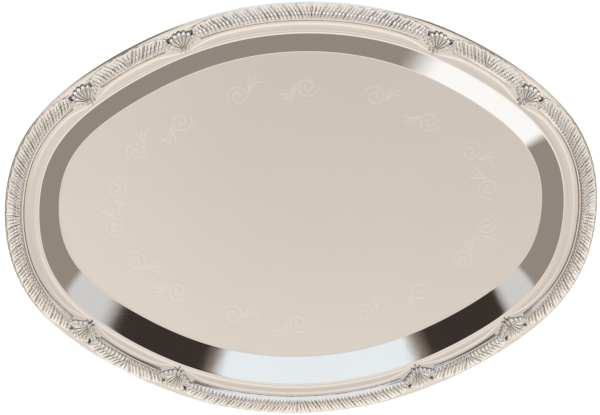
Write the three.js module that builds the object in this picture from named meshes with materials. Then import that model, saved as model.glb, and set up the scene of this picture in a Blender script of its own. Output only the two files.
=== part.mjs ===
// Oval offering plate: a pressed and plated sheet body with a wired edge, a gadroon border soldered on in
// eight lengths, and eight shell mounts that cover the joins between those lengths.
// Millimetres, +Z up. The origin is the centre of the flat underside, +X runs along the long axis.
// A place on the border is an arc length along the outer edge, anticlockwise from the +X end, and an
// inset, which is the distance inwards from the outer edge.

import * as THREE from "three";

// Driving dimensions
const ELLIPSE_LENGTH = 420; // axes of the ellipse that the outer edge follows
const ELLIPSE_WIDTH = 311;
const SHEET = 0.9; // thickness of the pressed sheet
const FLOOR_INSET = 40.6; // edge of the flat floor
const WALL_TOP_INSET = 22.3;
const WALL_SLOPE = THREE.MathUtils.degToRad(32.2);
const COVE_RADIUS = 1; // where the wall leaves the floor
const SHOULDER_RADIUS = 2.8; // where the wall meets the flange
const END_WALL_TOP = 1.2; // how much further in the head of the wall lies at the two ends
const END_FLOOR = 2.1; // how much further out the edge of the floor lies at the two ends
const FLANGE_RISE = 1.7; // from the top of the wall out to the rolled edge
const ROLL_RADIUS = 2.2; // outside radius of the rolled edge
const WIRE_CLEARANCE = 0.3;
const SOLDER_GAP = 0.12; // between the body and a mount

// The radius of the ellipse swells and shrinks by these shares in waves round the edge
const OUTLINE_WAVES = [
  { order: 4, share: 0.0072 },
  { order: 6, share: -0.0056 },
  { order: 8, share: -0.0025 },
];

// Shell mounts, two in each quarter of the border
const SHELL_ANGLES = [39.1, 63.8]; // ellipse angles in degrees
const HINGE_INSET = 17; // where the flutes of a shell meet
const FLUTES = 7;
const FAN_HALF_ANGLE = 64;
const FAN_REACH = 12.4;
const SCALLOP = 1.2;
const FLUTE_HEIGHT = 5.2;
const FLUTE_DEPTH = 1.4;

// Gadroon border. Both of its edges move inwards near a shell.
const BORDER_OUTER = 1.2;
const BORDER_INNER = 14.2;
const FLARE_OUTER = 4.3; // how much further in the outer edge would be at the middle of a shell
const FLARE_INNER = 1.3;
const FLARE_LENGTH = 22; // from the middle of a shell, over which the edges move
const BORDER_END = 10; // from the middle of a shell to the end of the border length beside it
const GROUP_PITCH = 8.6; // the ribs come in groups with a deep notch between groups
const GROUP_RIBS = 3;
const RIB_LEAN = THREE.MathUtils.degToRad(31);
const LEAN_SHARE = 0.15; // share of a half length over which the lean builds up from none

// How finely curves are divided
const BODY_STEPS = 72;
const COVE_STEPS = 2;
const SHOULDER_STEPS = 4;
const ROLL_STEPS = 8;
const BORE_STEPS = 6;
const WIRE_SIDES = 8;
const FLUTE_STEPS = 4;
const ARC_STEPS = 2880;

const bodySilver = { color: 0xe6e1da, roughness: 0.08, metalness: 1 };
const mountSilver = { color: 0xe2dcd3, roughness: 0.18, metalness: 1 };
const wireSteel = { color: 0x9a9a98, roughness: 0.4, metalness: 1 };

// Plan of the plate

function planPoint(angle, inset) {
  const a = ELLIPSE_LENGTH / 2;
  const b = ELLIPSE_WIDTH / 2;
  const swell = OUTLINE_WAVES.reduce((sum, wave) => sum + wave.share * Math.cos(wave.order * angle), 0);
  const inwards = new THREE.Vector2(b * Math.cos(angle), a * Math.sin(angle)).normalize().negate();
  const edge = new THREE.Vector2(a * Math.cos(angle), b * Math.sin(angle)).multiplyScalar(1 + swell);
  return edge.addScaledVector(inwards, inset);
}

// Arc length along the outer edge, tabulated against ellipse angle
const arcTable = [0];
for (let i = 1; i <= ARC_STEPS; i++) {
  const step = (2 * Math.PI) / ARC_STEPS;
  const chord = planPoint(i * step, 0).distanceTo(planPoint((i - 1) * step, 0));
  arcTable.push(arcTable[i - 1] + chord);
}
const PERIMETER = arcTable[ARC_STEPS];

function arcAt(angle) {
  return arcTable[Math.round((angle / (2 * Math.PI)) * ARC_STEPS)];
}

function angleAt(arc) {
  const turns = Math.floor(arc / PERIMETER);
  const rest = arc - turns * PERIMETER;
  let low = 0;
  let high = ARC_STEPS;
  while (high - low > 1) {
    const middle = Math.floor((low + high) / 2);
    if (arcTable[middle] <= rest) low = middle;
    else high = middle;
  }
  const share = (rest - arcTable[low]) / (arcTable[high] - arcTable[low]);
  return (turns + (low + share) / ARC_STEPS) * 2 * Math.PI;
}

// Solids made of rings of points

function meshOf(name, points, faces, look) {
  const geometry = new THREE.BufferGeometry().setFromPoints(points);
  geometry.setIndex(faces);
  geometry.computeVertexNormals();
  const mesh = new THREE.Mesh(geometry, new THREE.MeshStandardMaterial(look));
  mesh.name = name;
  return mesh;
}

// Faces point outwards when each ring runs clockwise for someone whom the rings advance towards
function ringFaces(rings, size, closed) {
  const faces = [];
  const gaps = closed ? rings : rings - 1;
  for (let i = 0; i < gaps; i++) {
    for (let j = 0; j < size; j++) {
      const next = (j + 1) % size;
      const here = i * size;
      const there = ((i + 1) % rings) * size;
      faces.push(here + j, there + next, here + next);
      faces.push(here + j, there + j, there + next);
    }
  }
  return faces;
}

// Faces from one point to the ring whose first point has the given index
function fanFaces(centre, first, size, reversed) {
  const faces = [];
  for (let j = 0; j < size; j++) {
    const a = first + j;
    const b = first + ((j + 1) % size);
    faces.push(centre, reversed ? b : a, reversed ? a : b);
  }
  return faces;
}

// Body: a profile of { inset, z } points swept round the plan. Its insets are those along the two sides.

// The wall is straight between a hollow cove at the floor and a rounded shoulder at the flange
const STRAIGHT_RUN =
  FLOOR_INSET - WALL_TOP_INSET - (COVE_RADIUS + SHOULDER_RADIUS) * Math.sin(WALL_SLOPE);
const WALL_HEIGHT =
  STRAIGHT_RUN * Math.tan(WALL_SLOPE) + (COVE_RADIUS + SHOULDER_RADIUS) * (1 - Math.cos(WALL_SLOPE));
const WALL_TOP_Z = SHEET + WALL_HEIGHT; // top face at the head of the wall
const ROLL_Z = WALL_TOP_Z + FLANGE_RISE - ROLL_RADIUS; // centre of the rolled edge

function wallPoints(lift) {
  const cove = Array.from({ length: COVE_STEPS + 1 }, (_, i) => {
    const slope = WALL_SLOPE * (i / COVE_STEPS);
    return {
      inset: FLOOR_INSET - COVE_RADIUS * Math.sin(slope),
      z: lift + COVE_RADIUS * (1 - Math.cos(slope)),
    };
  });
  const shoulder = Array.from({ length: SHOULDER_STEPS + 1 }, (_, i) => {
    const slope = WALL_SLOPE * (1 - i / SHOULDER_STEPS);
    return {
      inset: WALL_TOP_INSET + SHOULDER_RADIUS * Math.sin(slope),
      z: lift + WALL_HEIGHT - SHOULDER_RADIUS * (1 - Math.cos(slope)),
    };
  });
  return [...cove, ...shoulder];
}

// The wall is narrower at the two ends of the plate, so a place in the profile shifts there
function insetAt(angle, inset) {
  if (inset < ROLL_RADIUS) return inset;
  const atEnd = Math.cos(angle) ** 6;
  const wallTop = WALL_TOP_INSET + END_WALL_TOP * atEnd;
  const floor = FLOOR_INSET - END_FLOOR * atEnd;
  return inset < WALL_TOP_INSET
    ? THREE.MathUtils.mapLinear(inset, ROLL_RADIUS, WALL_TOP_INSET, ROLL_RADIUS, wallTop)
    : THREE.MathUtils.mapLinear(inset, WALL_TOP_INSET, FLOOR_INSET, wallTop, floor);
}

function rollPoints(radius, fromDeg, toDeg, steps) {
  return Array.from({ length: steps + 1 }, (_, i) => {
    const turn = THREE.MathUtils.degToRad(THREE.MathUtils.lerp(fromDeg, toDeg, i / steps));
    return { inset: ROLL_RADIUS - radius * Math.cos(turn), z: ROLL_Z + radius * Math.sin(turn) };
  });
}

// Top face of the flange and of the rolled edge
function flangeZ(inset) {
  if (inset < ROLL_RADIUS) return ROLL_Z + Math.sqrt(ROLL_RADIUS ** 2 - (ROLL_RADIUS - inset) ** 2);
  const share = (WALL_TOP_INSET - inset) / (WALL_TOP_INSET - ROLL_RADIUS);
  return WALL_TOP_Z + FLANGE_RISE * share;
}

function trayBody() {
  const top = 90;
  const tuck = -150; // the sheet curls past the bottom of the wire and stops
  const profile = [
    ...wallPoints(SHEET),
    ...rollPoints(ROLL_RADIUS, top, tuck, ROLL_STEPS),
    ...rollPoints(ROLL_RADIUS - SHEET, tuck, top, BORE_STEPS),
    ...wallPoints(0).reverse(),
  ];
  const points = [];
  for (const { inset, z } of profile) {
    for (let j = 0; j < BODY_STEPS; j++) {
      const angle = (j / BODY_STEPS) * 2 * Math.PI;
      const flat = planPoint(angle, insetAt(angle, inset));
      points.push(new THREE.Vector3(flat.x, flat.y, z));
    }
  }
  const floorTop = points.push(new THREE.Vector3(0, 0, SHEET)) - 1;
  const underside = points.push(new THREE.Vector3(0, 0, 0)) - 1;
  const lastRing = (profile.length - 1) * BODY_STEPS;
  const faces = [
    ...ringFaces(profile.length, BODY_STEPS, false),
    ...fanFaces(floorTop, 0, BODY_STEPS, false),
    ...fanFaces(underside, lastRing, BODY_STEPS, true),
  ];
  return meshOf("tray_body", points, faces, bodySilver);
}

function edgeWire() {
  const radius = ROLL_RADIUS - SHEET - WIRE_CLEARANCE;
  const points = [];
  for (let i = 0; i < BODY_STEPS; i++) {
    for (let j = 0; j < WIRE_SIDES; j++) {
      const turn = (j / WIRE_SIDES) * 2 * Math.PI;
      const flat = planPoint((i / BODY_STEPS) * 2 * Math.PI, ROLL_RADIUS - radius * Math.cos(turn));
      points.push(new THREE.Vector3(flat.x, flat.y, ROLL_Z + radius * Math.sin(turn)));
    }
  }
  return meshOf("edge_wire", points, ringFaces(BODY_STEPS, WIRE_SIDES, true), wireSteel);
}

// Gadroon border

// Section from the outer foot to the inner foot: ribs that climb inwards to a crest and end at RIB_END,
// then a plain rounded fillet. The underside bends at the crown of the rolled edge.
const RIB_END = 0.76;
const RIB_END_AT_SHELL = 0.6;
const SHRINK_AT_SHELL = 0.15; // share of their height that the ribs lose
const BORDER_SECTION = [
  { across: 0, crest: 0, valley: 0, notch: 0 },
  { across: 0.05, crest: 1.1, valley: 1, notch: 0.3 },
  { across: 0.28, crest: 3, valley: 2.6, notch: 1.2 },
  { across: 0.54, crest: 4.3, valley: 3.4, notch: 2.4 },
  { across: 0.69, crest: 3.5, valley: 2.5, notch: 1.9 },
  { across: RIB_END, crest: 2, valley: 1.7, notch: 1.7 },
  { across: 0.92, crest: 1.2, valley: 1.2, notch: 1.2 },
  { across: 1, crest: 0, valley: 0, notch: 0 },
];
const CROWN_MARGIN = 0.4; // from the crown to the bend
const LEAN_PIVOT = 0.35; // place across the border that a leaning rib turns about

// Lean of a rib as sideways shift per millimetre outwards. The ribs fan out from the middle of a length.
function leanAt(share) {
  const built = Math.min(1, Math.abs(share) / LEAN_SHARE);
  return Math.sign(share) * Math.tan(RIB_LEAN) * Math.sin((built * Math.PI) / 2);
}

// The fillet is wider near a shell, and the ribs make room for it
function placeAcross(across, flare) {
  const ribEnd = THREE.MathUtils.lerp(RIB_END, RIB_END_AT_SHELL, flare);
  return THREE.MathUtils.mapLinear(
    across,
    across < RIB_END ? 0 : RIB_END,
    across < RIB_END ? RIB_END : 1,
    across < RIB_END ? 0 : ribEnd,
    across < RIB_END ? ribEnd : 1,
  );
}

function gadroonLength(name, fromShell, toShell) {
  const middle = (fromShell + toShell) / 2;
  const half = (toShell - fromShell) / 2;
  const groups = Math.round((2 * (half - BORDER_END)) / GROUP_PITCH);
  const groupStations = 2 * GROUP_RIBS;
  const stations = groups * groupStations + 1;
  const size = BORDER_SECTION.length + 1;
  const points = [];
  for (let i = 0; i < stations; i++) {
    const arc = THREE.MathUtils.lerp(fromShell + BORDER_END, toShell - BORDER_END, i / (stations - 1));
    const share = (arc - middle) / half;
    const flare = Math.exp(-(((half - Math.abs(arc - middle)) / FLARE_LENGTH) ** 2));
    const outer = BORDER_OUTER + FLARE_OUTER * flare;
    const inner = BORDER_INNER + FLARE_INNER * flare;
    const line = i % 2 ? "crest" : i % groupStations ? "valley" : "notch";
    const pointAt = (inset, height) => {
      const shift = leanAt(share) * (LEAN_PIVOT * (inner - outer) - (inset - outer));
      const flat = planPoint(angleAt(arc + shift), inset);
      return new THREE.Vector3(flat.x, flat.y, flangeZ(inset) + SOLDER_GAP + height);
    };
    for (const section of BORDER_SECTION) {
      const inset = THREE.MathUtils.lerp(outer, inner, placeAcross(section.across, flare));
      points.push(pointAt(inset, section[line] * (1 - SHRINK_AT_SHELL * flare)));
    }
    points.push(pointAt(Math.max(ROLL_RADIUS, outer) + CROWN_MARGIN, 0));
  }
  const outline = BORDER_SECTION.map(({ across, notch }) => new THREE.Vector2(across, notch));
  const underside = new THREE.Vector2(BORDER_SECTION[1].across, -CROWN_MARGIN);
  const end = [...outline, underside].reverse();
  const endFaces = THREE.ShapeUtils.triangulateShape(end, []).flat().map((i) => size - 1 - i);
  const faces = [
    ...ringFaces(stations, size, false),
    ...endFaces.map((i) => i + (stations - 1) * size),
    ...endFaces.toReversed(),
  ];
  return meshOf(name, points, faces, mountSilver);
}

// Shell mount: a scalloped fan that opens outwards, a pointed leaf inwards and a scroll to each side.
// Its outline is a list of { turn, reach, height } about the hinge, where a turn of 0 points outwards.

const SCROLL_AND_LEAF = [
  { turn: 70, reach: 9.8, height: 3 },
  { turn: 84, reach: 8.9, height: 2.6 },
  { turn: 98, reach: 7, height: 2.4 },
  { turn: 112, reach: 5.4, height: 3 },
  { turn: 135, reach: 4.4, height: 3 },
  { turn: 160, reach: 3, height: 2.8 },
];
const LEAF_TIP = { turn: 180, reach: 4.2, height: 2.6 };

function fanOutline() {
  const steps = FLUTES * FLUTE_STEPS;
  return Array.from({ length: steps + 1 }, (_, i) => {
    const share = (2 * i) / steps - 1;
    const bulge = Math.sin(((i % FLUTE_STEPS) / FLUTE_STEPS) * Math.PI);
    return {
      turn: share * FAN_HALF_ANGLE,
      reach: FAN_REACH - SCALLOP * (1 - bulge),
      height: FLUTE_HEIGHT - FLUTE_DEPTH * (1 - bulge),
    };
  });
}

function shellOutline() {
  const left = SCROLL_AND_LEAF.map((key) => ({ ...key, turn: -key.turn })).reverse();
  return [LEAF_TIP, ...left, ...fanOutline(), ...SCROLL_AND_LEAF];
}

// Rings from the hinge out to the foot, as shares of the reach and of the height there
const SHELL_RINGS = [
  { reach: 0.35, height: 0.72 },
  { reach: 0.75, height: 1 },
  { reach: 0.93, height: 0.86 },
  { reach: 1, height: 0.4 },
  { reach: 1, height: 0 },
];
const HINGE_HEIGHT = 3;

function shellMount(name, arc) {
  const place = (turnDeg, reach, height) => {
    const turn = THREE.MathUtils.degToRad(turnDeg);
    const inset = HINGE_INSET - reach * Math.cos(turn);
    const flat = planPoint(angleAt(arc + reach * Math.sin(turn)), inset);
    return new THREE.Vector3(flat.x, flat.y, flangeZ(inset) + SOLDER_GAP + height);
  };
  const outline = shellOutline();
  const points = SHELL_RINGS.flatMap((ring) =>
    outline.map((key) => place(key.turn, key.reach * ring.reach, key.height * ring.height)),
  );
  const hingeTop = points.push(place(0, 0, HINGE_HEIGHT)) - 1;
  const hingeFoot = points.push(place(0, 0, 0)) - 1;
  const lastRing = (SHELL_RINGS.length - 1) * outline.length;
  const faces = [
    ...ringFaces(SHELL_RINGS.length, outline.length, false),
    ...fanFaces(hingeTop, 0, outline.length, false),
    ...fanFaces(hingeFoot, lastRing, outline.length, true),
  ];
  return meshOf(name, points, faces, mountSilver);
}

// Assembly

const plate = new THREE.Group();
plate.name = "offering_plate";
plate.add(trayBody(), edgeWire());

const endShell = arcAt(THREE.MathUtils.degToRad(SHELL_ANGLES[0]));
const sideShell = arcAt(THREE.MathUtils.degToRad(SHELL_ANGLES[1]));
const halfTurn = PERIMETER / 2;

plate.add(
  gadroonLength("gadroon_end_right", -endShell, endShell),
  gadroonLength("gadroon_corner_back_right", endShell, sideShell),
  gadroonLength("gadroon_side_back", sideShell, halfTurn - sideShell),
  gadroonLength("gadroon_corner_back_left", halfTurn - sideShell, halfTurn - endShell),
  gadroonLength("gadroon_end_left", halfTurn - endShell, halfTurn + endShell),
  gadroonLength("gadroon_corner_front_left", halfTurn + endShell, halfTurn + sideShell),
  gadroonLength("gadroon_side_front", halfTurn + sideShell, PERIMETER - sideShell),
  gadroonLength("gadroon_corner_front_right", -sideShell, -endShell),
);

plate.add(
  shellMount("shell_end_back_right", endShell),
  shellMount("shell_side_back_right", sideShell),
  shellMount("shell_side_back_left", halfTurn - sideShell),
  shellMount("shell_end_back_left", halfTurn - endShell),
  shellMount("shell_end_front_left", halfTurn + endShell),
  shellMount("shell_side_front_left", halfTurn + sideShell),
  shellMount("shell_side_front_right", -sideShell),
  shellMount("shell_end_front_right", -endShell),
);

export default plate;
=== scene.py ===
"""Looks of an oval offering plate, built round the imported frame.

Lengths in this script are millimetres and turn into metres when a mesh is made. A place on the border is an
arc length along the outer edge, anticlockwise from the +X end, and an inset, the distance inwards from there.
"""

import math

import bpy
import numpy as np
from mathutils import Matrix, Vector
from mathutils.geometry import tessellate_polygon
from mathutils.kdtree import KDTree


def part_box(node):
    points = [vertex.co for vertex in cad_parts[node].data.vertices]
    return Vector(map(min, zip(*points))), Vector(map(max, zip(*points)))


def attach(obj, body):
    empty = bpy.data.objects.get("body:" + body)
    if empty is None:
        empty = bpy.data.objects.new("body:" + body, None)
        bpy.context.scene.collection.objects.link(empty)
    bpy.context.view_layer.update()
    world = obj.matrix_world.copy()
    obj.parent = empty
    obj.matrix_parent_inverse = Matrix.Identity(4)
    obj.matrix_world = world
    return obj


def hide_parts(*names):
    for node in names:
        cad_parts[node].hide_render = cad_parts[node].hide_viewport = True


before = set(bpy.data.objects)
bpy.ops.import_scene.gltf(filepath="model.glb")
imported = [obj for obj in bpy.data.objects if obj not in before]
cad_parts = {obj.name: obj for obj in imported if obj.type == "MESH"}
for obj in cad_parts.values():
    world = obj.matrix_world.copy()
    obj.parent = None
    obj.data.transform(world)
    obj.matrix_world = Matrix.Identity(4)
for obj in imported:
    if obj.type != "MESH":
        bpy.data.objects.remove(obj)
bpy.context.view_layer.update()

MM = 0.001
body_low, body_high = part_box("tray_body")

# ---------------------------------------------------------------- sizes

# Waves that swell and shrink the ellipse which the outer edge follows
OUTLINE_WAVES = [(4, 0.0072), (6, -0.0056), (8, -0.0025)]

SHEET = 0.9
FLOOR_INSET = 40.6
WALL_TOP_INSET = 22.3
COVE_RADIUS = 1.0
SHOULDER_RADIUS = 2.8
WALL_SLOPE = math.radians(32.2)
END_WALL_TOP = 1.2  # at the two ends the head of the wall lies this much further in
END_FLOOR = 2.1  # and the edge of the floor this much further out
FLANGE_RISE = 1.7
WALL_SAG = 0.1
FLANGE_DISH = 0.25  # how far the flange sags between the shoulder and the border
ROLL_RADIUS = 2.2
WIRE_CLEARANCE = 0.25
MOUNT_SINK = 0.08  # mounts stand this far into the solder film on the flange

SHELL_ANGLES = (39.1, 63.8)
BORDER_OUTER = 1.2
BORDER_INNER = 14.2
FLARE_OUTER = 4.3  # both edges of the border move inwards near a shell, by these and over this length
FLARE_INNER = 1.3
FLARE_LENGTH = 22.0
BORDER_END = 10.0
GROUP_PITCH = 8.6
GROUP_RIBS = 3
RIB_STEPS = 14  # stations to a rib
RIB_LEAN = math.tan(math.radians(31))
LEAN_SHARE = 0.15
LEAN_PIVOT = 0.35
CROWN_MARGIN = 0.4  # from the crown of the rolled edge to the bend in the border's underside

BODY_STEPS = 1200
ARC_STEPS = 7200


def swell(angle):
    return 1 + sum(share * np.cos(order * angle) for order, share in OUTLINE_WAVES)


# Axes of the ellipse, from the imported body
HALF_LENGTH = body_high.x / MM / swell(0.0)
HALF_WIDTH = body_high.y / MM / swell(math.pi / 2)
ROLL_TOP = body_high.z / MM
WALL_TOP_Z = ROLL_TOP - FLANGE_RISE
ROLL_Z = ROLL_TOP - ROLL_RADIUS
WALL_HEIGHT = WALL_TOP_Z - SHEET

# ---------------------------------------------------------------- plan of the plate


def plan_point(angle, inset):
    """x and y at an ellipse angle, an inset inwards from the outer edge. Takes arrays."""
    cos, sin = np.cos(angle), np.sin(angle)
    nx, ny = HALF_WIDTH * cos, HALF_LENGTH * sin
    size = np.hypot(nx, ny)
    grown = swell(angle)
    return (
        HALF_LENGTH * cos * grown - inset * nx / size,
        HALF_WIDTH * sin * grown - inset * ny / size,
    )


table_angles = np.linspace(0, 2 * math.pi, ARC_STEPS + 1)
edge_x, edge_y = plan_point(table_angles, 0)
chords = np.hypot(np.diff(edge_x), np.diff(edge_y))
table_arcs = np.concatenate([[0], np.cumsum(chords)])
PERIMETER = table_arcs[-1]


def arc_at(angle):
    return float(np.interp(angle, table_angles, table_arcs))


def angle_at(arc):
    turns = np.floor(arc / PERIMETER)
    rest = arc - turns * PERIMETER
    return np.interp(rest, table_arcs, table_angles) + turns * 2 * math.pi


end_shell = arc_at(math.radians(SHELL_ANGLES[0]))
side_shell = arc_at(math.radians(SHELL_ANGLES[1]))
half_turn = PERIMETER / 2
SHELLS = [
    ("end_back_right", end_shell),
    ("side_back_right", side_shell),
    ("side_back_left", half_turn - side_shell),
    ("end_back_left", half_turn - end_shell),
    ("end_front_left", half_turn + end_shell),
    ("side_front_left", half_turn + side_shell),
    ("side_front_right", -side_shell),
    ("end_front_right", -end_shell),
]
SHELL_ARCS = np.array([arc for _, arc in SHELLS])


def inset_at(angle, inset):
    """Where a place in the body's profile lies, since the wall is narrower at the two ends."""
    at_end = np.cos(angle) ** 6
    wall_top = WALL_TOP_INSET + END_WALL_TOP * at_end
    floor = FLOOR_INSET - END_FLOOR * at_end
    if inset < ROLL_RADIUS:
        return inset + 0 * angle
    if inset < WALL_TOP_INSET:
        return ROLL_RADIUS + (wall_top - ROLL_RADIUS) * (inset - ROLL_RADIUS) / (WALL_TOP_INSET - ROLL_RADIUS)
    return wall_top + (floor - wall_top) * (inset - WALL_TOP_INSET) / (FLOOR_INSET - WALL_TOP_INSET)


def flange_z(inset):
    """Height of the body's top face on the flange and the rolled edge."""
    share = np.clip((WALL_TOP_INSET - inset) / (WALL_TOP_INSET - ROLL_RADIUS), 0, 1)
    flat = WALL_TOP_Z + FLANGE_RISE * share - FLANGE_DISH * 4 * share * (1 - share)
    across = np.clip(ROLL_RADIUS - inset, 0, ROLL_RADIUS)
    roll = ROLL_Z + np.sqrt(ROLL_RADIUS**2 - across**2)
    return np.where(inset < ROLL_RADIUS, roll, flat)


def border_place(arc, inset, height):
    """Points in space on the border, height above the flange."""
    x, y = plan_point(angle_at(arc), inset)
    return np.stack([x, y, flange_z(inset) + height], axis=-1)


# ---------------------------------------------------------------- meshes


def mesh_object(name, points, faces):
    """An object from points in millimetres and a list of face arrays, each of one face size."""
    mesh = bpy.data.meshes.new(name)
    sizes = np.concatenate([np.full(len(f), f.shape[1]) for f in faces])
    corners = np.concatenate([f.ravel() for f in faces]).astype(np.int32)
    mesh.vertices.add(len(points))
    mesh.vertices.foreach_set("co", (np.asarray(points) * MM).astype(np.float32).ravel())
    mesh.loops.add(len(corners))
    mesh.loops.foreach_set("vertex_index", corners)
    mesh.polygons.add(len(sizes))
    mesh.polygons.foreach_set("loop_start", (np.cumsum(sizes) - sizes).astype(np.int32))
    mesh.polygons.foreach_set("use_smooth", np.ones(len(sizes), bool))
    mesh.update(calc_edges=True)
    mesh.validate()
    piece = bpy.data.objects.new(name, mesh)
    bpy.context.scene.collection.objects.link(piece)
    return piece


def set_attribute(piece, name, values):
    attribute = piece.data.attributes.new(name, "FLOAT", "POINT")
    attribute.data.foreach_set("value", np.asarray(values, np.float32).ravel())


def ring_quads(rings, size, closed=False):
    """Quads between neighbouring rings of points. Outward when each ring runs clockwise seen from ahead."""
    gaps = rings if closed else rings - 1
    i, j = np.meshgrid(np.arange(gaps), np.arange(size), indexing="ij")
    here = i * size
    there = (i + 1) % rings * size
    after = (j + 1) % size
    quads = np.stack([here + j, there + j, there + after, here + after], axis=-1)
    return quads.reshape(-1, 4)


def fan_triangles(centre, first, size, reverse=False):
    j = np.arange(size)
    a, b = first + j, first + (j + 1) % size
    if reverse:
        a, b = b, a
    return np.stack([np.full(size, centre), a, b], axis=-1)


# ---------------------------------------------------------------- body

# A shallow line on the flange that hangs in swags from shell to shell
SWAG_INSET = 15.6
SWAG_DIP = 4.0
SWAG_LENGTH = 15.0
SWAG_WIDTH = 1.7
SWAG_DEPTH = 0.15
SWAG_RETURN = 2.4

ROLL_TUCK = -150  # where the rolled edge ends, in degrees round from its crown at 90
LIP_RINGS = 14  # of the rolled edge that have gone dull
LIP_DULLNESS = 0.4

# Rings of points on the floor, as shares of the way to its edge. They lie close together on the wreath.
PLAIN_SHARES = np.linspace(0.05, 0.62, 10)
WREATH_SHARES = np.linspace(0.64, 0.92, 90)
EDGE_SHARES = [0.94, 0.985]

# Engraved wreath on the floor
WREATH_SHARE = 0.78  # of the way from the centre to the edge of the floor
WREATH_SCROLLS = 18
SCROLL_SIZE = 8.0
SCROLL_TURNS = 1.6
SCROLL_CLOSING = 0.85  # share of its size that a scroll loses on the way in
LEAF_LENGTH = 12.0
LEAF_BEND = 2.2
LEAF_TILTS = (0.5, 0.9, 1.3)  # in radians
ENGRAVED_WIDTH = 0.8
ENGRAVED_DEPTH = 0.025


def wall_profile(lift):
    """Inset and height up the wall: a cove, a run that sags very slightly, and a rounded shoulder."""
    cove = np.linspace(0, WALL_SLOPE, 9)
    shoulder = np.linspace(WALL_SLOPE, 0, 17)
    cove_inset = FLOOR_INSET - COVE_RADIUS * np.sin(cove)
    cove_rise = COVE_RADIUS * (1 - np.cos(cove))
    shoulder_inset = WALL_TOP_INSET + SHOULDER_RADIUS * np.sin(shoulder)
    shoulder_rise = WALL_HEIGHT - SHOULDER_RADIUS * (1 - np.cos(shoulder))
    share = np.linspace(0, 1, 12)[1:-1]
    run_inset = cove_inset[-1] + (shoulder_inset[0] - cove_inset[-1]) * share
    run_rise = cove_rise[-1] + (shoulder_rise[0] - cove_rise[-1]) * share - WALL_SAG * 4 * share * (1 - share)
    inset = np.concatenate([cove_inset, run_inset, shoulder_inset])
    rise = np.concatenate([cove_rise, run_rise, shoulder_rise])
    return list(zip(inset, lift + rise))


def flange_profile(lift, steps):
    insets = np.linspace(WALL_TOP_INSET, ROLL_RADIUS, steps)[1:-1]
    return [(inset, float(flange_z(inset)) + lift) for inset in insets]


def roll_profile(radius, from_deg, to_deg, steps):
    turns = np.radians(np.linspace(from_deg, to_deg, steps))
    return list(zip(ROLL_RADIUS - radius * np.cos(turns), ROLL_Z + radius * np.sin(turns)))


def floor_edge(angle):
    return plan_point(angle, inset_at(angle, FLOOR_INSET))


def swag_drop(arcs, inset):
    """How far the flange drops inside a shallow line that hangs in swags from shell to shell."""
    gaps = np.abs((arcs[:, None] - SHELL_ARCS + PERIMETER / 2) % PERIMETER - PERIMETER / 2).min(axis=1)
    line = SWAG_INSET + SWAG_DIP * np.exp(-((gaps / SWAG_LENGTH) ** 2))
    inside = np.clip((inset - line) / SWAG_WIDTH, 0, 1)
    back = np.clip((WALL_TOP_INSET - inset) / SWAG_RETURN, 0, 1)
    return SWAG_DEPTH * inside**2 * (3 - 2 * inside) * back**2 * (3 - 2 * back)


def wreath_lines():
    """Points along the engraved lines of the floor: scrolls curling in and out by turns, with leaves."""
    lines = []
    for index in range(WREATH_SCROLLS):
        middle = 2 * math.pi * (index + 0.5) / WREATH_SCROLLS
        side = 1 if index % 2 else -1
        share = np.linspace(0, 1, 120)
        reach = SCROLL_SIZE * (1 - SCROLL_CLOSING * share)
        turn = 2 * math.pi * SCROLL_TURNS * share
        lines.append(wreath_place(middle, reach * np.cos(turn) * side, reach * np.sin(turn) * side))
        for tilt in LEAF_TILTS:
            leaf = np.linspace(0, 1, 40)
            along = -side * (SCROLL_SIZE + LEAF_LENGTH * leaf * math.cos(tilt))
            out = side * (LEAF_LENGTH * leaf * math.sin(tilt) + LEAF_BEND * np.sin(leaf * math.pi))
            lines.append(wreath_place(middle, along, out))
    return np.concatenate(lines)


def wreath_place(middle, along, out):
    """x and y for millimetres along the wreath and outwards from it, near an ellipse angle."""
    here, ahead = (np.array(floor_edge(np.float64(middle + step))) for step in (0, 0.01))
    tangent = (ahead - here) / np.hypot(*(ahead - here))
    outwards = np.array([tangent[1], -tangent[0]])
    return here * WREATH_SHARE + along[:, None] * tangent + out[:, None] * outwards


def engraved_share(points):
    """How deep each point of the floor lies in an engraved line, from 0 to 1."""
    lines = wreath_lines()
    tree = KDTree(len(lines))
    for index, (x, y) in enumerate(lines):
        tree.insert((x, y, 0), index)
    tree.balance()
    gaps = np.array([tree.find((x, y, 0))[2] for x, y, _ in points])
    return np.clip(1 - gaps / ENGRAVED_WIDTH, 0, 1)


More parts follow.
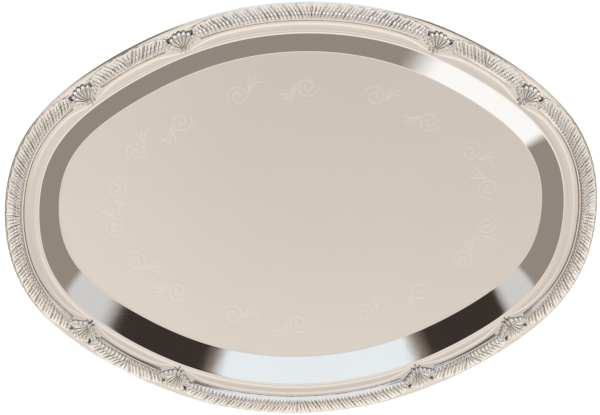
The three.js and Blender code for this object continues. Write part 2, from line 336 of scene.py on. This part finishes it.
def build_body():
    """The pressed sheet as rings of points: out over its top face, round the roll and back underneath."""
    angles = np.linspace(0, 2 * math.pi, BODY_STEPS, endpoint=False)
    arcs = np.interp(angles, table_angles, table_arcs)
    edge_x, edge_y = floor_edge(angles)
    shares = np.concatenate([PLAIN_SHARES, WREATH_SHARES, EDGE_SHARES])
    rings = [np.stack([edge_x * k, edge_y * k, np.full(BODY_STEPS, SHEET)], axis=-1) for k in shares]
    fine = slice(len(PLAIN_SHARES) * BODY_STEPS, (len(shares) - len(EDGE_SHARES)) * BODY_STEPS)
    face = wall_profile(SHEET) + flange_profile(0, 48)
    back = (
        roll_profile(ROLL_RADIUS, 90, ROLL_TUCK, 25)
        + roll_profile(ROLL_RADIUS - SHEET, ROLL_TUCK, 90, 19)
        + flange_profile(-SHEET, 10)[::-1]
        + wall_profile(0)[::-1]
    )
    for inset, z in face + back:
        x, y = plan_point(angles, inset_at(angles, inset))
        rings.append(np.stack([x, y, np.full(BODY_STEPS, z)], axis=-1))
    for ring, (inset, _) in zip(rings[len(shares) :], face):
        ring[:, 2] -= swag_drop(arcs, inset)
    points = np.concatenate(rings + [[[0, 0, SHEET], [0, 0, 0]]])
    engraved = np.zeros(len(points))
    engraved[fine] = engraved_share(points[fine])
    points[:, 2] -= ENGRAVED_DEPTH * engraved
    top, under = len(points) - 2, len(points) - 1
    quads = ring_quads(len(rings), BODY_STEPS)
    last = (len(rings) - 1) * BODY_STEPS
    caps = np.concatenate(
        [fan_triangles(top, 0, BODY_STEPS), fan_triangles(under, last, BODY_STEPS, reverse=True)]
    )
    dull = np.zeros(len(points))
    lip_start = len(shares) + len(face)
    dull[lip_start * BODY_STEPS : (lip_start + LIP_RINGS) * BODY_STEPS] = LIP_DULLNESS
    piece = mesh_object("plate_body", points, [quads, caps])
    set_attribute(piece, "engraved", engraved)
    set_attribute(piece, "tarnish_shade", dull)
    return piece


def build_wire():
    radius = ROLL_RADIUS - SHEET - WIRE_CLEARANCE
    turns = np.linspace(0, 2 * math.pi, 16, endpoint=False)
    angles = np.linspace(0, 2 * math.pi, 360, endpoint=False)
    x, y = plan_point(angles[:, None], ROLL_RADIUS - radius * np.cos(turns))
    z = np.broadcast_to(ROLL_Z + radius * np.sin(turns), x.shape)
    points = np.stack([x, y, z], axis=-1).reshape(-1, 3)
    return mesh_object("rim_wire", points, [ring_quads(len(angles), len(turns), closed=True)])


# ---------------------------------------------------------------- gadroon border

CREST = 4.3  # height of the bulbs above the flange
CREST_PLACE = 0.6  # share of the border's width from the outer foot to the top of the bulbs
LOBE_HEIGHT = 2.5
LOBE_RISE = 0.6  # the smaller, the quicker a lobe rises at its tip
BULB_START = 0.43
RIB_END = 0.88  # where the bulbs run out into the fillet
RIB_END_AT_SHELL = 0.72
SHRINK_AT_SHELL = 0.15
FILLET_HEIGHT = (0.8, 1.9)  # in the middle of a length and at a shell
GROUP_DEPTH = (0.85, 0.25)  # how far a lobe falls off to its edges, at its outer tip and at the bulbs
RIB_DEPTH = 0.42  # the same for each of the three ribs of a lobe
BULB_DEPTH = 0.5  # and for each bulb
BULB_LEAD = 0.06  # a bulb's own depth sets in this far before its start, over the next
BULB_BLEND = 0.1
RIB_RUN_OUT = 1.6  # the larger, the nearer to the fillet the ribs keep their full depth
TIP_WIDTH = 0.86  # of a lobe at its tip, as a share of its width at the bulbs
LOBE_CURVE = 0.65  # the smaller, the flatter a lobe's top
FULL_CLIMB = 0.35  # share of the climb to the bulbs from which the ribs are at full depth
LEAST_HEIGHT = 0.3

# Darkening of the border, from 0 to 1: painted shade, with some tarnish, in the gaps between ribs and lobes,
# in the neck before the bulbs, in the groove at their foot and at the border's feet. Where a share is given
# for it, that share comes and goes at random from lobe to lobe.
TIP_GAP_SHADE = 0.3
RIB_GAP_CURVE = 3.5  # the larger, the narrower the painted shade between two ribs
RIB_GAP_RANDOM = 0.15
LOBE_GAP_CURVE = 7
LOBE_GAP_RANDOM = 0.25
NECK_SHADE = 1.2  # painted shade in the neck before the bulbs, which is full over a short stretch
NECK_LEAD = 0.05
NECK_WIDTH = 0.13
NECK_LEAST = 0.2  # on the crown of a rib
NECK_RANDOM = 0.3
GROOVE = 0.07  # width of the groove at the foot of the bulbs, which holds a painted shadow line
GROOVE_SHADE = (0.4, 0.9)  # darkness of the painted shadow line in it, in the middle of a length and at a shell
# Painted shade at the inner and the outer foot of the border, where it stands on the sheet
INNER_FOOT = 0.07
OUTER_FOOT = 0.06
OUTER_FOOT_BLEND = 0.1

RANDOM_SPREAD = (-0.6, 1)
RANDOM_COUNT = 31  # lobes before the wear repeats
RANDOM_SEED = 7


def ridge_line(across, fillet):
    """Height of the top line of a lobe that climbs slowly inwards and ends in a bulb."""
    climb = np.clip(across / CREST_PLACE, 0, 1)
    step = np.clip((across - BULB_START) / (CREST_PLACE - BULB_START), 0, 1)
    fall = np.clip((across - CREST_PLACE) / (RIB_END - CREST_PLACE), 0, 1)
    lobe = LOBE_HEIGHT * climb**LOBE_RISE
    rise = lobe + (CREST - lobe) * np.sin(step * math.pi / 2)
    return fillet + (rise - fillet) * np.sqrt(1 - fall**2)


def border_across():
    ribs = np.concatenate(
        [CREST_PLACE * np.linspace(0, 1, 22) ** 1.3, np.linspace(CREST_PLACE, RIB_END, 14)[1:]]
    )
    fillet = np.linspace(RIB_END, 1, 14)[1:]
    return np.concatenate([ribs, fillet])


def section_height(across, fade, in_rib, in_group, flare):
    """Height across the border. Fade is the share of the ribs' depth that is left where they run out."""
    fillet = FILLET_HEIGHT[0] + (FILLET_HEIGHT[1] - FILLET_HEIGHT[0]) * flare
    climb = np.clip(across / CREST_PLACE, 0, 1)
    bulb = np.clip((across - BULB_START + BULB_LEAD) / BULB_BLEND, 0, 1)
    lobe_width = TIP_WIDTH + (1 - TIP_WIDTH) * climb**0.5
    group_top = np.clip(1 - (in_group / lobe_width) ** 2, 0, 1) ** LOBE_CURVE
    rib_top = (1 - in_rib**2) ** 0.5
    group_depth = GROUP_DEPTH[0] + (GROUP_DEPTH[1] - GROUP_DEPTH[0]) * climb
    rib_depth = (RIB_DEPTH + (BULB_DEPTH - RIB_DEPTH) * bulb) * np.clip(climb / FULL_CLIMB, 0, 1)
    cut = fade * (group_depth * (1 - group_top) + rib_depth * (1 - rib_top))
    ribs = np.maximum(ridge_line(across, fillet) * (1 - cut), LEAST_HEIGHT * (across > 0))
    beyond = np.clip((across - RIB_END) / (1 - RIB_END), 0, 1)
    rounded = fillet * np.cos(beyond * math.pi / 2)
    return np.where(across < RIB_END, ribs, rounded) * (1 - SHRINK_AT_SHELL * flare)


def randomised(tarnish_and_shade, share, lobe_random):
    """Darkening of which a share comes and goes with a random number for each lobe."""
    return tarnish_and_shade * (1 - share + share * lobe_random)


def section_tarnish_shade(across, fade, in_rib, in_group, flare, lobe_random):
    """How dark the border is painted across it, from 0 to 1: painted shade with some tarnish."""
    climb = np.clip(across / CREST_PLACE, 0, 1)
    # Painted shade in the gaps between bulbs and between lobes, and in the neck before the bulbs
    gap = np.clip(climb / FULL_CLIMB, TIP_GAP_SHADE, 1) * fade
    between_bulbs = randomised(gap * abs(in_rib) ** RIB_GAP_CURVE, RIB_GAP_RANDOM, lobe_random)
    between_lobes = randomised(fade * abs(in_group) ** LOBE_GAP_CURVE, LOBE_GAP_RANDOM, lobe_random)
    neck = np.clip(NECK_SHADE - np.abs(across - BULB_START + NECK_LEAD) / NECK_WIDTH, 0, 1)
    neck = randomised(neck * (NECK_LEAST + (1 - NECK_LEAST) * in_rib**2), NECK_RANDOM, lobe_random)
    # A painted shadow line in the groove at the foot of the bulbs, darker near a shell, and painted shade at
    # both feet
    groove_shade = GROOVE_SHADE[0] + (GROOVE_SHADE[1] - GROOVE_SHADE[0]) * flare
    groove = np.clip(1 - np.abs(across - RIB_END - GROOVE / 2) / GROOVE, 0, 1) * groove_shade
    inner_foot = np.clip((across - 1 + INNER_FOOT) / INNER_FOOT, 0, 1)
    outer_foot = np.clip((OUTER_FOOT - across) / OUTER_FOOT_BLEND, 0, 1)
    return np.max([between_bulbs, between_lobes, neck, groove, inner_foot, outer_foot], axis=0)


def border_section(in_rib, in_group, flare, lobe_random):
    """Heights across the border, and its darkening by painted shade and tarnish, with in_rib and in_group
    from -1 to 1 across a bulb and a lobe.
    The last point is the one underneath."""
    across = border_across()
    fade = np.clip((RIB_END - across) / (RIB_END - CREST_PLACE) * RIB_RUN_OUT, 0, 1)
    height = section_height(across, fade, in_rib, in_group, flare)
    tarnish_shade = section_tarnish_shade(across, fade, in_rib, in_group, flare, lobe_random)
    # The point underneath gets full painted shade
    return np.append(height, 0), np.append(tarnish_shade, 1)


def place_across(across, flare):
    """The fillet is wider near a shell, and the ribs make room for it."""
    rib_end = RIB_END + (RIB_END_AT_SHELL - RIB_END) * flare
    return np.interp(across, [0, RIB_END, 1], [0, rib_end, 1])


def lean_at(share):
    built = np.clip(np.abs(share) / LEAN_SHARE, 0, 1)
    return np.sign(share) * RIB_LEAN * np.sin(built * math.pi / 2)


def build_border(name, from_shell, to_shell):
    """One length of the border, between the hinges of two shells."""
    middle = (from_shell + to_shell) / 2
    half = (to_shell - from_shell) / 2
    ribs = GROUP_RIBS * round(2 * (half - BORDER_END) / GROUP_PITCH)
    stations = np.linspace(from_shell + BORDER_END, to_shell - BORDER_END, ribs * RIB_STEPS + 1)
    group_steps = RIB_STEPS * GROUP_RIBS
    across = border_across()
    group_random = np.random.default_rng(int(abs(middle)) + RANDOM_SEED).uniform(*RANDOM_SPREAD, RANDOM_COUNT)
    rings = []
    tarnish_shade_rings = []
    for index, arc in enumerate(stations):
        share = (arc - middle) / half
        flare = math.exp(-(((half - abs(arc - middle)) / FLARE_LENGTH) ** 2))
        outer = BORDER_OUTER + FLARE_OUTER * flare
        inner = BORDER_INNER + FLARE_INNER * flare
        in_rib = 2 * (index % RIB_STEPS) / RIB_STEPS - 1
        in_group = 2 * (index % group_steps) / group_steps - 1
        lobe_random = group_random[index // group_steps % RANDOM_COUNT]
        height, tarnish_shade = border_section(in_rib, in_group, flare, lobe_random)
        inset = outer + (inner - outer) * place_across(across, flare)
        inset = np.append(inset, max(ROLL_RADIUS, outer) + CROWN_MARGIN)
        shift = lean_at(share) * (LEAN_PIVOT * (inner - outer) - (inset - outer))
        rings.append(border_place(arc + shift, inset, height + MOUNT_SINK))
        tarnish_shade_rings.append(tarnish_shade)
    size = len(height)
    points = np.concatenate(rings)
    # The cap is cut on a flat copy of the section, with the point underneath just below the rest
    outline = [Vector((a, h, 0)) for a, h in zip(across, height)] + [Vector((0.05, -0.1, 0))]
    cap = np.array(tessellate_polygon([outline]))
    last = (len(rings) - 1) * size
    piece = mesh_object(name, points, [ring_quads(len(rings), size), cap, cap[:, ::-1] + last])
    set_attribute(piece, "tarnish_shade", np.concatenate(tarnish_shade_rings))
    return piece


# ---------------------------------------------------------------- shells

# A shell is a fan of petals round its hinge. Its places are millimetres across it and outwards from there.
HINGE_INSET = 17.0
PETALS = 7
FAN_HALF_ANGLE = math.radians(64)
PETAL_ROOT = 1.2
PETAL_TIP = 12.6
PETAL_HEIGHT = 5.4
PETAL_GAP = 0.9  # share of the height that is lost between two petals at their tips
ROOT_GAP = 0.55  # the gap at the root, as a share of the gap at the tip
PETAL_NOTCH = 0.1  # how far the edge steps in between two petals, as a share of their length
PETAL_ARCH = 2.0  # in radians: a petal's ridge follows a sine that has just passed its top at the tip
PETAL_DROP = 7  # the larger, the nearer to its tip a petal falls off
SHELL_TURNS = 540
SHELL_RINGS = 40
SHELL_REACH = 17.0
EDGE_HEIGHT = 0.3
SHADE_START_HEIGHT = 2.7  # painted shade with tarnish sets in below this height and is full at the next
SHADE_FULL_HEIGHT = 0.6

# Lumps round the hinge: across, outwards, half length, half width, turn in degrees, height, taper
BOSS = (0, 0.3, 1.7, 1.5, 90, 4.6, 0)
DROP = (0, -2.0, 2.6, 1.2, -90, 3.6, 0.55)
SIDE_LUMPS = [
    (3.2, 0.2, 2.4, 1.6, 38, 4.1, -0.2),
    (6.2, 1.9, 2.3, 1.6, 46, 4.0, -0.2),
    (9.2, 3.6, 2.3, 1.5, 44, 3.8, -0.2),
    (3.0, -1.7, 1.4, 1.0, -50, 2.8, 0.3),
    (11.6, 6.0, 2.6, 1.4, 70, 4.0, -0.1),
    (11.0, 9.6, 2.6, 1.8, 92, 3.8, 0.1),
]


def lump(across, outwards, shape, side=1):
    """A rounded lump, long along its own axis and narrower towards the end of it by the taper."""
    place, out, half_length, half_width, turn_deg, height, taper = shape
    turn = math.radians(turn_deg)
    dx, dy = side * across - place, outwards - out
    along = (dx * math.cos(turn) + dy * math.sin(turn)) / half_length
    width = half_width * (1 - taper * np.clip(along, -1, 1))
    beside = (dy * math.cos(turn) - dx * math.sin(turn)) / width
    return height * np.sqrt(np.clip(1 - along**2 - beside**2, 0, 1))


def shell_height(across, outwards):
    """Height of a shell above its foot, for places across it and outwards from its hinge."""
    reach = np.hypot(across, outwards)
    fan_turn = np.arctan2(across, outwards)
    in_petal = (fan_turn / FAN_HALF_ANGLE + 1) / 2 * PETALS
    beside = 2 * (in_petal - np.floor(in_petal)) - 1
    petal_top = np.sqrt(np.clip(1 - beside**2, 0, 1))
    tip = PETAL_TIP * (1 - PETAL_NOTCH + PETAL_NOTCH * petal_top)
    share = np.clip(reach / tip, 0, 1)
    ridge = PETAL_HEIGHT * (0.5 + 0.5 * np.sin(share * PETAL_ARCH)) * np.sqrt(1 - share**PETAL_DROP)
    gap = PETAL_GAP * (ROOT_GAP + (1 - ROOT_GAP) * share)
    height = np.where(np.abs(fan_turn) < FAN_HALF_ANGLE, ridge * (1 - gap * (1 - petal_top)), 0)
    height = np.where(reach < PETAL_ROOT, 0, height)
    lumps = [lump(across, outwards, BOSS), lump(across, outwards, DROP)]
    lumps += [lump(across, outwards, shape, side) for shape in SIDE_LUMPS for side in (-1, 1)]
    for top in lumps:
        height = np.maximum(height, top)
    return height


def shell_outline():
    """How far the shell reaches from its hinge in each direction."""
    turns = np.linspace(0, 2 * math.pi, SHELL_TURNS, endpoint=False)
    reaches = np.linspace(0, SHELL_REACH, 600)
    across, outwards = np.sin(turns[:, None]) * reaches, np.cos(turns[:, None]) * reaches
    solid = shell_height(across, outwards) > EDGE_HEIGHT
    last = len(reaches) - 1 - np.argmax(solid[:, ::-1], axis=1)
    return turns, reaches[last]


def build_shell(name, arc):
    """A shell mount: its top in rings of points round the hinge, then a step down to its flat foot."""
    turns, reach = shell_outline()
    rings = []
    tarnish_shade_rings = []
    for share in np.linspace(0, 1, SHELL_RINGS)[1:]:
        across, outwards = reach * share * np.sin(turns), reach * share * np.cos(turns)
        height = np.maximum(shell_height(across, outwards), EDGE_HEIGHT)
        inset = HINGE_INSET - outwards
        rings.append(border_place(arc + across, inset, height + MOUNT_SINK))
        # The lower a place on the shell, the darker it is painted: painted shade with some tarnish, between
        # the petals and at their ends
        tarnish_shade_rings.append(np.clip((SHADE_START_HEIGHT - height) / (SHADE_START_HEIGHT - SHADE_FULL_HEIGHT), 0, 1))
    rings.append(border_place(arc + across, inset, MOUNT_SINK + 0 * across))
    # The step down to the foot gets full painted shade
    tarnish_shade_rings.append(np.ones_like(turns))
    top = float(shell_height(np.zeros(1), np.zeros(1))[0])
    centres = [
        border_place(np.array([arc]), np.array([HINGE_INSET]), height + MOUNT_SINK) for height in (top, 0)
    ]
    points = np.concatenate(rings + centres)
    last = (len(rings) - 1) * SHELL_TURNS
    top_fan = fan_triangles(len(points) - 2, 0, SHELL_TURNS)
    foot_fan = fan_triangles(len(points) - 1, last, SHELL_TURNS, reverse=True)
    sides = ring_quads(len(rings), SHELL_TURNS)
    piece = mesh_object(name, points, [sides, np.concatenate([top_fan, foot_fan])])
    set_attribute(piece, "tarnish_shade", np.concatenate(tarnish_shade_rings + [np.zeros(2)]))
    return piece


# ---------------------------------------------------------------- materials


def srgb(red, green, blue):
    def linear(value):
        return value / 12.92 if value <= 0.04045 else ((value + 0.055) / 1.055) ** 2.4

    return (linear(red), linear(green), linear(blue), 1.0)


class NodeMaker:
    """Short names for making and joining shader nodes."""

    def __init__(self, tree):
        self.tree = tree

    def add(self, kind, **inputs):
        node = self.tree.nodes.new(kind)
        for name, value in inputs.items():
            self.feed(node.inputs[name.replace("_", " ")], value)
        return node

    def feed(self, socket, value):
        if isinstance(value, bpy.types.NodeSocket):
            self.tree.links.new(value, socket)
        else:
            socket.default_value = value

    def math(self, operation, first, second=0.0, third=0.0):
        node = self.tree.nodes.new("ShaderNodeMath")
        node.operation = operation
        for socket, value in zip(node.inputs, (first, second, third)):
            self.feed(socket, value)
        return node.outputs[0]

    def span(self, value, low, high, to_low=0.0, to_high=1.0):
        """A smooth step of the value, from to_low at low to to_high at high."""
        node = self.tree.nodes.new("ShaderNodeMapRange")
        node.interpolation_type = "SMOOTHSTEP"
        for name, number in (("Value", value), ("From Min", low), ("From Max", high)):
            self.feed(node.inputs[name], number)
        self.feed(node.inputs["To Min"], to_low)
        self.feed(node.inputs["To Max"], to_high)
        return node.outputs[0]

    def mix(self, factor, low, high):
        node = self.tree.nodes.new("ShaderNodeMix")
        node.data_type = "RGBA"
        self.feed(node.inputs["Factor"], factor)
        colours = [socket for socket in node.inputs if socket.type == "RGBA"]
        self.feed(colours[0], low)
        self.feed(colours[1], high)
        return [socket for socket in node.outputs if socket.type == "RGBA"][0]

    def noise(self, place, scale, detail):
        return self.add("ShaderNodeTexNoise", Vector=place, Scale=scale, Detail=detail).outputs[0]

    def attribute(self, name):
        node = self.add("ShaderNodeAttribute")
        node.attribute_name = name
        return node.outputs["Fac"]

    def stretched(self, place, turn_deg, stretch):
        """Coordinates turned in plan and squeezed along one direction, for scratches."""
        node = self.add("ShaderNodeMapping", Vector=place)
        node.inputs["Rotation"].default_value = (0, 0, math.radians(turn_deg))
        node.inputs["Scale"].default_value = (1, stretch, 1)
        return node.outputs[0]


# Scales of the noise: soft clouds in the polish, its fine grain, and patches in the tarnish and painted shade
# of the hollows
CLOUD_SCALE = 14
GRAIN_SCALE = 1800
PATCH_SCALE = 260

# Dark colour of the tarnish, and of the shade painted into hollows and at the feet of the mounts
TARNISH_AND_SHADE = (0.20, 0.16, 0.135, 1)
CLOUD_TINT = (0.86, 0.83, 0.77, 1)
CLOUD_SHARE = 0.12
CUT_TINT = (1, 0.995, 0.98, 1)  # freshly cut metal in the engraved lines
CUT_SHARE = 0.4

GRAIN_ROUGHNESS = 0.03
TARNISH_AND_SHADE_ROUGHNESS = 0.3
CUT_ROUGHNESS = 0.2

SCRATCHES = ((17, 60), (71, 80), (128, 70))  # direction in degrees and noise scale of each set
SCRATCH_STRETCH = 40
SCRATCH_RELIEF = (0.04, 0.00002)  # strength, and depth in metres
WAVE_RELIEF = (0.35, 0.0004)


def relief(maker, height, strength_depth, below=None):
    """A bump, on top of another if one is given."""
    strength, depth = strength_depth
    node = maker.add("ShaderNodeBump", Height=height, Strength=strength, Distance=depth)
    if below is not None:
        maker.feed(node.inputs["Normal"], below)
    return node.outputs[0]


def scratch_marks(maker, place):
    marks = 0.0
    for turn, scale in SCRATCHES:
        streak = maker.noise(maker.stretched(place, turn, SCRATCH_STRETCH), scale, 2)
        marks = maker.math("ADD", marks, maker.span(streak, 0.62, 0.7))
    return marks


def metal(name, tint, polish, haze):
    """Polished metal, darkened by its mask with tarnish and with shade painted into the hollows and at the
    feet of the mounts. Polish and haze are its least and most roughness.
    """
    material = bpy.data.materials.new(name)
    material.use_nodes = True
    maker = NodeMaker(material.node_tree)
    place = maker.add("ShaderNodeTexCoord").outputs["Object"]
    engraved = maker.attribute("engraved")
    cloud = maker.noise(place, CLOUD_SCALE, 4)
    patches = maker.span(maker.noise(place, PATCH_SCALE, 3), 0.25, 0.75, 0.7, 1.0)
    # The mask paints tarnish and shade: it darkens the colour and roughens the surface
    tarnish_and_shade = maker.math("MULTIPLY", maker.attribute("tarnish_shade"), patches)

    colour = maker.mix(maker.span(cloud, 0.3, 0.7, 0.0, CLOUD_SHARE), tint, CLOUD_TINT)
    colour = maker.mix(maker.span(tarnish_and_shade, 0.25, 0.95), colour, TARNISH_AND_SHADE)
    colour = maker.mix(maker.math("MULTIPLY", engraved, CUT_SHARE), colour, CUT_TINT)

    rough = maker.span(cloud, 0.3, 0.75, polish, haze)
    grain = maker.span(maker.noise(place, GRAIN_SCALE, 2), 0.5, 0.8, 0.0, GRAIN_ROUGHNESS)
    rough = maker.math("ADD", rough, grain)
    rough = maker.math("ADD", rough, maker.math("MULTIPLY", tarnish_and_shade, TARNISH_AND_SHADE_ROUGHNESS))
    rough = maker.math("ADD", rough, maker.math("MULTIPLY", engraved, CUT_ROUGHNESS))

    wave = relief(maker, cloud, WAVE_RELIEF)
    bump = relief(maker, scratch_marks(maker, place), SCRATCH_RELIEF, wave)

    shader = material.node_tree.nodes["Principled BSDF"]
    inputs = {"Base Color": colour, "Metallic": 1.0, "Roughness": rough, "Normal": bump}
    for socket, value in inputs.items():
        maker.feed(shader.inputs[socket], value)
    return material


# ---------------------------------------------------------------- assembly

BORDER_LENGTHS = [
    ("end_right", -end_shell, end_shell),
    ("corner_back_right", end_shell, side_shell),
    ("side_back", side_shell, half_turn - side_shell),
    ("corner_back_left", half_turn - side_shell, half_turn - end_shell),
    ("end_left", half_turn - end_shell, half_turn + end_shell),
    ("corner_front_left", half_turn + end_shell, half_turn + side_shell),
    ("side_front", half_turn + side_shell, PERIMETER - side_shell),
    ("corner_front_right", -side_shell, -end_shell),
]


def stand_in(piece, node, material):
    """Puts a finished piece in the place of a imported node."""
    piece.data.materials.append(material)
    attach(piece, "root")
    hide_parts(node)


body_silver = metal("plate_silver", (0.93, 0.915, 0.89, 1), 0.02, 0.05)
border_silver = metal("border_silver", (0.96, 0.94, 0.915, 1), 0.05, 0.12)
shell_silver = metal("shell_silver", (0.97, 0.955, 0.93, 1), 0.06, 0.14)
wire_steel = metal("wire_steel", (0.55, 0.55, 0.54, 1), 0.3, 0.45)

stand_in(build_body(), "tray_body", body_silver)
stand_in(build_wire(), "edge_wire", wire_steel)
for place, from_shell, to_shell in BORDER_LENGTHS:
    length = build_border("ribs_" + place, from_shell, to_shell)
    stand_in(length, "gadroon_" + place, border_silver)
for place, arc in SHELLS:
    stand_in(build_shell("fan_" + place, arc), "shell_" + place, shell_silver)

# ---------------------------------------------------------------- stage, light and camera

CAMERA_TILT = math.radians(22.26)
CAMERA_SIDE = math.radians(5.85)
CAMERA_ROLL = math.radians(-2.05)
CAMERA_DISTANCE = 1820.0
CAMERA_SHIFT = (-2.65, 4.34)  # of the camera from the plate's centre, in its own right and up directions
FOCAL_LENGTH = 155.1
SENSOR_WIDTH = 36.0
FAR_CLIP = 20  # in metres

STAGE_HALF = 3000.0
STAGE_DROP = 0.05  # of the pale floor below the plate's foot
STAGE_POINTS = 25  # along each side of it
STAGE_GLOW = 0.65


def add_camera():
    """The camera stands off the +Y side and looks down at the plate."""
    turn = (
        Matrix.Rotation(CAMERA_ROLL, 3, "Z")
        @ Matrix.Rotation(CAMERA_TILT, 3, "X")
        @ Matrix.Rotation(CAMERA_SIDE, 3, "Y")
    )
    right, up, back = turn[0], turn[1], turn[2]
    data = bpy.data.cameras.new("camera")
    data.lens = FOCAL_LENGTH
    data.sensor_width = SENSOR_WIDTH
    data.clip_end = FAR_CLIP
    camera = bpy.data.objects.new("camera", data)
    place = Vector((0, 0, WALL_TOP_Z)) + back * CAMERA_DISTANCE
    place += right * CAMERA_SHIFT[0] + up * CAMERA_SHIFT[1]
    pose = Matrix((right, up, back)).transposed().to_4x4()
    pose.translation = place * MM
    camera.matrix_world = pose
    bpy.context.scene.collection.objects.link(camera)
    bpy.context.scene.camera = camera


def add_floor():
    """A plain pale floor under the plate."""
    line = np.linspace(-STAGE_HALF, STAGE_HALF, STAGE_POINTS)
    x, y = np.meshgrid(line, line, indexing="ij")
    points = np.stack([x, y, np.full_like(x, -STAGE_DROP)], axis=-1).reshape(-1, 3)
    steps = np.arange(STAGE_POINTS - 1)
    i, j = np.meshgrid(steps, steps, indexing="ij")
    here = i * STAGE_POINTS + j
    there = here + STAGE_POINTS
    quads = np.stack([here, there, there + 1, here + 1], axis=-1).reshape(-1, 4)
    floor = mesh_object("floor", points, [quads])
    material = bpy.data.materials.new("pale_floor")
    material.use_nodes = True
    shader = material.node_tree.nodes["Principled BSDF"]
    shader.inputs["Base Color"].default_value = (0.8, 0.8, 0.8, 1)
    shader.inputs["Roughness"].default_value = 0.9
    shader.inputs["Emission Color"].default_value = (1, 1, 1, 1)
    shader.inputs["Emission Strength"].default_value = STAGE_GLOW
    floor.data.materials.append(material)


# The studio is a grey ring round the plate, with soft panels on it, under a pale dome. A panel has the
# bearing of its middle and its half width, in degrees, and a colour. The flags and the fill boxes stand in
# pairs, one on either side of the main soft box.
RING_COLOUR = (0.57, 0.53, 0.50)
MAIN_BOX = (88, 29, (0.90, 0.93, 0.95))
FLAG_OFFSET = 43
FLAG = (11, (0.22, 0.19, 0.17))
FLAG_FOOT = 34  # the flags hang, so that a low view of the floor doesn't meet one
FILL_OFFSET = 64
FILL_BOX = (9, (0.80, 0.80, 0.80))
STRIP_LIGHT = (-108, 11, (0.98, 0.98, 0.98))
PANEL_EDGE = 2.5  # half of the width over which a panel fades out

# Elevation of the top of the ring, in degrees, which is highest behind the camera
RING_TURN = math.radians(16)
RING_HEIGHT = 44.0
RING_TILT = 23.0
RING_BEND = 10.0
DOME_LEAST = 50.0  # least elevation of the foot of the dome, and its least height over the ring
DOME_GAP = 5.0
GLOW_BLEND = 6.0
DOME_BLEND = 10.0
LIGHT_STRENGTH = 1.08

# Tones of the band over the ring, and of the dome from beyond the plate to over the camera. Each of the
# dome's tones sets in over a span of the direction's y.
GLOW_BEYOND = (0.95, 0.92, 0.88)
GLOW_NEAR = (0.66, 0.60, 0.56)
DOME_BEYOND = (0.94, 0.905, 0.86)
DOME_TONES = [(-0.60, -0.30, (0.80, 0.764, 0.735)), (-0.30, -0.22, (0.885, 0.85, 0.815))]
DOME_LEFT = (1, 0.985, 0.96)
DOME_LEFT_SHARE = 0.2
DOME_NEAR = (0.92, 0.92, 0.92)


def studio_panels():
    """Bearing of the middle, half width, colour and elevation of the foot of each panel."""
    main = MAIN_BOX[0]
    flags = [(main + side * FLAG_OFFSET, *FLAG, FLAG_FOOT) for side in (-1, 1)]
    fill_boxes = [(main + side * FILL_OFFSET, *FILL_BOX, 0) for side in (-1, 1)]
    return [(*MAIN_BOX, 0), *flags, *fill_boxes, (*STRIP_LIGHT, 0)]


def add_world():
    """A plain studio: the ring with its panels, a band of light above it and a pale dome."""
    world = bpy.data.worlds.new("studio")
    bpy.context.scene.world = world
    world.use_nodes = True
    world.node_tree.nodes.clear()
    maker = NodeMaker(world.node_tree)

    direction = maker.add("ShaderNodeTexCoord").outputs["Generated"]
    parts = maker.add("ShaderNodeSeparateXYZ", Vector=direction).outputs
    across, ahead = parts["X"], parts["Y"]
    bearing = maker.math("ARCTAN2", ahead, across)
    degrees = maker.math("MULTIPLY", bearing, 180 / math.pi)
    rise = maker.math("MULTIPLY", maker.math("ARCSINE", parts["Z"]), 180 / math.pi)

    ring = srgb(*RING_COLOUR)
    for middle, half_width, colour, foot in studio_panels():
        away = maker.math("ABSOLUTE", maker.math("SUBTRACT", degrees, middle))
        beside = maker.span(away, half_width + PANEL_EDGE, half_width - PANEL_EDGE)
        over_foot = maker.span(rise, foot - PANEL_EDGE, foot + PANEL_EDGE)
        ring = maker.mix(maker.math("MULTIPLY", beside, over_foot), ring, srgb(*colour))

    near = maker.span(maker.math("SINE", bearing), -0.35, 0.45)
    glow = maker.mix(near, srgb(*GLOW_BEYOND), srgb(*GLOW_NEAR))
    dome = srgb(*DOME_BEYOND)
    for start, end, tone in DOME_TONES:
        dome = maker.mix(maker.span(ahead, start, end), dome, srgb(*tone))
    dome = maker.mix(maker.span(across, 0.09, -0.03, 0, DOME_LEFT_SHARE), dome, srgb(*DOME_LEFT))
    dome = maker.mix(maker.span(ahead, 0.0, 0.25), dome, srgb(*DOME_NEAR))

    facing = maker.math("SINE", maker.math("ADD", bearing, -RING_TURN))
    ring_top = maker.math("MULTIPLY_ADD", facing, -RING_BEND, RING_TILT)
    ring_top = maker.math("MULTIPLY_ADD", ring_top, facing, RING_HEIGHT)
    over_ring = maker.math("SUBTRACT", rise, ring_top)
    lower = maker.mix(maker.span(over_ring, 0, GLOW_BLEND), ring, glow)
    dome_foot = maker.math("MAXIMUM", DOME_LEAST, maker.math("ADD", ring_top, DOME_GAP))
    sky = maker.mix(maker.span(maker.math("SUBTRACT", rise, dome_foot), 0, DOME_BLEND), lower, dome)

    seen = maker.add("ShaderNodeLightPath").outputs["Is Camera Ray"]
    colour = maker.mix(seen, sky, (1, 1, 1, 1))
    background = maker.add("ShaderNodeBackground", Color=colour, Strength=LIGHT_STRENGTH)
    output = maker.add("ShaderNodeOutputWorld")
    maker.feed(output.inputs["Surface"], background.outputs[0])


add_camera()
add_floor()
add_world()
bpy.context.scene.view_settings.view_transform = "Standard"
